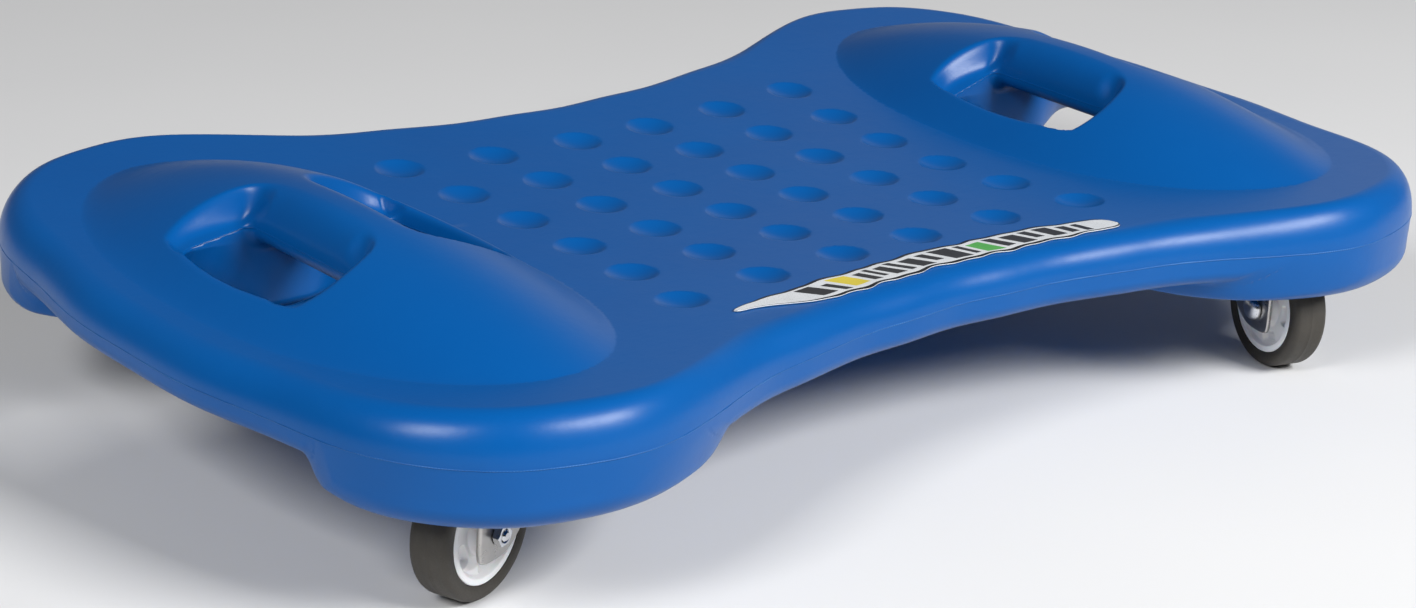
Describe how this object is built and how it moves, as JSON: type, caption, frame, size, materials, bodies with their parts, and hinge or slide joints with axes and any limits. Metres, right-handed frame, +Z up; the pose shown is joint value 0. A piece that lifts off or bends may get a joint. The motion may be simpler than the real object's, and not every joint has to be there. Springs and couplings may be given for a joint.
{
  "type": "scooter board",
  "caption": "Waisted ride-on scooter board in hollow moulded plastic with raised grip mounds, hand slots, a dimpled deck and free-swivelling casters under the corners.",
  "frame": {"origin": "on the floor under the middle of the board, between the four casters", "axes": "+X along the board towards the right-hand grip, +Y across it, +Z up"},
  "size_m": [0.5532, 0.3358, 0.1038],
  "materials": {
    "blue_shell": "satin blow-moulded polyethylene with a fine grain",
    "label": "printed film, satin",
    "pressed_steel": "bright zinc-plated pressed steel",
    "zinc_fasteners": "bright zinc plate",
    "white_hub": "white moulded nylon",
    "grey_tyre": "matt dark grey thermoplastic rubber"
  },
  "bodies": {
    "board": {"board_body": "blue_shell", "label_strip": "label", "caster_fl_plate": "pressed_steel", "caster_fl_kingpin": "zinc_fasteners", "caster_fl_screw_1": "zinc_fasteners", "caster_fl_screw_2": "zinc_fasteners", "caster_fl_screw_3": "zinc_fasteners", "caster_fl_screw_4": "zinc_fasteners", "caster_fr_plate": "pressed_steel", "caster_fr_kingpin": "zinc_fasteners", "caster_fr_screw_1": "zinc_fasteners", "caster_fr_screw_2": "zinc_fasteners", "caster_fr_screw_3": "zinc_fasteners", "caster_fr_screw_4": "zinc_fasteners", "caster_rl_plate": "pressed_steel", "caster_rl_kingpin": "zinc_fasteners", "caster_rl_screw_1": "zinc_fasteners", "caster_rl_screw_2": "zinc_fasteners", "caster_rl_screw_3": "zinc_fasteners", "caster_rl_screw_4": "zinc_fasteners", "caster_rr_plate": "pressed_steel", "caster_rr_kingpin": "zinc_fasteners", "caster_rr_screw_1": "zinc_fasteners", "caster_rr_screw_2": "zinc_fasteners", "caster_rr_screw_3": "zinc_fasteners", "caster_rr_screw_4": "zinc_fasteners"},
    "fork_fl": {"caster_fl_fork": "pressed_steel", "caster_fl_race": "pressed_steel", "caster_fl_bolt": "zinc_fasteners", "caster_fl_nut": "zinc_fasteners", "caster_fl_bush": "pressed_steel"},
    "wheel_fl": {"caster_fl_hub": "white_hub", "caster_fl_tyre": "grey_tyre"},
    "fork_fr": {"caster_fr_fork": "pressed_steel", "caster_fr_race": "pressed_steel", "caster_fr_bolt": "zinc_fasteners", "caster_fr_nut": "zinc_fasteners", "caster_fr_bush": "pressed_steel"},
    "wheel_fr": {"caster_fr_hub": "white_hub", "caster_fr_tyre": "grey_tyre"},
    "fork_rl": {"caster_rl_fork": "pressed_steel", "caster_rl_race": "pressed_steel", "caster_rl_bolt": "zinc_fasteners", "caster_rl_nut": "zinc_fasteners", "caster_rl_bush": "pressed_steel"},
    "wheel_rl": {"caster_rl_hub": "white_hub", "caster_rl_tyre": "grey_tyre"},
    "fork_rr": {"caster_rr_fork": "pressed_steel", "caster_rr_race": "pressed_steel", "caster_rr_bolt": "zinc_fasteners", "caster_rr_nut": "zinc_fasteners", "caster_rr_bush": "pressed_steel"},
    "wheel_rr": {"caster_rr_hub": "white_hub", "caster_rr_tyre": "grey_tyre"}
  },
  "joints": [
    {"name": "swivel_fl", "type": "hinge", "parent": "board", "child": "fork_fl", "pos_m": [-0.194, -0.1063, 0.0585], "axis": [0, 0, 1], "continuous": true},
    {"name": "roll_fl", "type": "hinge", "parent": "fork_fl", "child": "wheel_fl", "pos_m": [-0.21191, -0.11233, 0.0252], "axis": [-0.319, 0.9478, 0], "continuous": true},
    {"name": "swivel_fr", "type": "hinge", "parent": "board", "child": "fork_fr", "pos_m": [0.194, -0.1063, 0.0585], "axis": [0, 0, 1], "continuous": true},
    {"name": "roll_fr", "type": "hinge", "parent": "fork_fr", "child": "wheel_fr", "pos_m": [0.18892, -0.1245, 0.0252], "axis": [-0.9632, 0.2689, 0], "continuous": true},
    {"name": "swivel_rl", "type": "hinge", "parent": "board", "child": "fork_rl", "pos_m": [-0.194, 0.1063, 0.0585], "axis": [0, 0, 1], "continuous": true},
    {"name": "roll_rl", "type": "hinge", "parent": "fork_rl", "child": "wheel_rl", "pos_m": [-0.17583, 0.11151, 0.0252], "axis": [0.2756, -0.9613, 0], "continuous": true},
    {"name": "swivel_rr", "type": "hinge", "parent": "board", "child": "fork_rr", "pos_m": [0.194, 0.1063, 0.0585], "axis": [0, 0, 1], "continuous": true},
    {"name": "roll_rr", "type": "hinge", "parent": "fork_rr", "child": "wheel_rr", "pos_m": [0.20889, 0.09466, 0.0252], "axis": [-0.6157, -0.788, 0], "continuous": true}
  ]
}
